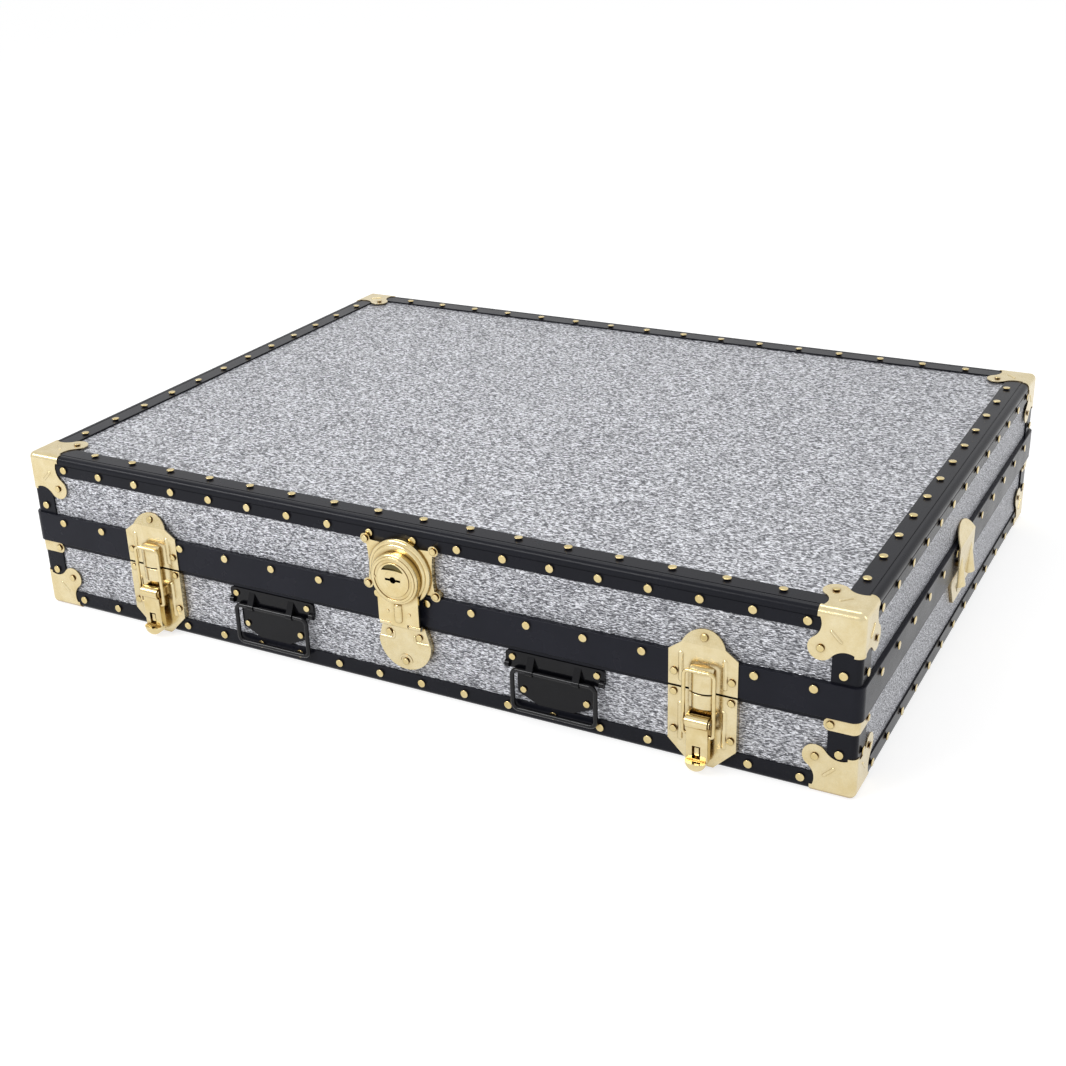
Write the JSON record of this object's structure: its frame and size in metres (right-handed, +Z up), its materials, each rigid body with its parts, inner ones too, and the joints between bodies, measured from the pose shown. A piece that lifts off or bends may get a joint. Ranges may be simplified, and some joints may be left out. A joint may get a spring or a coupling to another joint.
{
  "type": "trunk",
  "caption": "Shallow travelling trunk with a hinged lid, dark edge trim, brass corners, a hasp lock, draw bolts and drop handles.",
  "frame": {"origin": "centre of the whole's bounding box in plan, on the plane that the trunk stands on", "axes": "+X along the length to the right as seen from the lock, +Y to the back, +Z up"},
  "size_m": [0.9372, 0.6992, 0.1804],
  "materials": {
    "plywood": "matte",
    "covering": "embossed metallic",
    "lining": "matte",
    "trim": "satin",
    "brass": "satin",
    "black_steel": "gloss",
    "steel": "satin"
  },
  "bodies": {
    "base": {"base_back_binding": "trim", "base_back_panel": "plywood", "base_back_strip": "trim", "base_brass_corners": "brass", "base_corner_bindings": "trim", "base_covering": "covering", "base_floor_panel": "plywood", "base_front_binding": "trim", "base_front_panel": "plywood", "base_left_binding": "trim", "base_left_panel": "plywood", "base_lining": "lining", "base_nails": "brass", "base_right_binding": "trim", "base_right_panel": "plywood", "base_rim_strip": "trim", "base_rivets": "brass", "corner_clips": "brass", "dowel_sockets": "brass", "drawbolt_latches": "brass", "drawbolt_pins": "steel", "hinge_base_leaves": "steel", "hinge_pins": "steel", "left_drawbolt_plate": "brass", "left_handle_plate": "black_steel", "lock_hinge_pin": "steel", "lock_hinge_plate": "brass", "right_drawbolt_plate": "brass", "right_handle_plate": "black_steel"},
    "lid": {"dowel_plates": "brass", "hinge_lid_leaves": "steel", "left_drawbolt_catch": "brass", "lid_back_binding": "trim", "lid_back_panel": "plywood", "lid_back_strip": "trim", "lid_brass_corners": "brass", "lid_corner_bindings": "trim", "lid_covering": "covering", "lid_front_binding": "trim", "lid_front_panel": "plywood", "lid_left_binding": "trim", "lid_left_panel": "plywood", "lid_lining": "lining", "lid_nails": "brass", "lid_right_binding": "trim", "lid_right_panel": "plywood", "lid_rivets": "brass", "lid_top_panel": "plywood", "lock_lid_plate": "brass", "right_drawbolt_catch": "brass", "valance_front": "trim", "valance_sides": "trim"},
    "hasp": {"lock_hasp": "brass"},
    "key_plug": {"lock_key_plug": "brass"},
    "left_grip": {"left_handle_bail": "black_steel"},
    "right_grip": {"right_handle_bail": "black_steel"},
    "left_lever": {"left_drawbolt_lever": "brass"},
    "right_lever": {"right_drawbolt_lever": "brass"},
    "left_loop": {"left_drawbolt_bail": "brass"},
    "right_loop": {"right_drawbolt_bail": "brass"}
  },
  "joints": [
    {"name": "lid_hinge", "type": "hinge", "parent": "base", "child": "lid", "pos_m": [0, 0.34715, 0.089], "axis": [-1, 0, 0], "range_deg": [0, 100]},
    {"name": "hasp_hinge", "type": "hinge", "parent": "base", "child": "hasp", "pos_m": [0.0105, -0.33425, 0.0775], "axis": [1, 0, 0], "range_deg": [0, 150]},
    {"name": "key_turn", "type": "hinge", "parent": "hasp", "child": "key_plug", "pos_m": [0.0105, -0.34195, 0.129], "axis": [0, 1, 0], "range_deg": [0, 90]},
    {"name": "left_grip_hinge", "type": "hinge", "parent": "base", "child": "left_grip", "pos_m": [-0.1495, -0.33035, 0.055], "axis": [-1, 0, 0], "range_deg": [0, 100]},
    {"name": "left_lever_hinge", "type": "hinge", "parent": "base", "child": "left_lever", "pos_m": [-0.2965, -0.33905, 0.051], "axis": [-1, 0, 0], "range_deg": [0, 150]},
    {"name": "left_loop_hinge", "type": "hinge", "parent": "left_lever", "child": "left_loop", "pos_m": [-0.2965, -0.33905, 0.038], "axis": [-1, 0, 0], "range_deg": [-150, 0]},
    {"name": "right_grip_hinge", "type": "hinge", "parent": "base", "child": "right_grip", "pos_m": [0.1705, -0.33035, 0.055], "axis": [-1, 0, 0], "range_deg": [0, 100]},
    {"name": "right_lever_hinge", "type": "hinge", "parent": "base", "child": "right_lever", "pos_m": [0.3175, -0.33905, 0.051], "axis": [-1, 0, 0], "range_deg": [0, 150]},
    {"name": "right_loop_hinge", "type": "hinge", "parent": "right_lever", "child": "right_loop", "pos_m": [0.3175, -0.33905, 0.038], "axis": [-1, 0, 0], "range_deg": [-150, 0]}
  ],
  "couplings": [
    {"joint": "left_loop_hinge", "follows": "left_lever_hinge", "ratio": -1},
    {"joint": "right_loop_hinge", "follows": "right_lever_hinge", "ratio": -1}
  ]
}
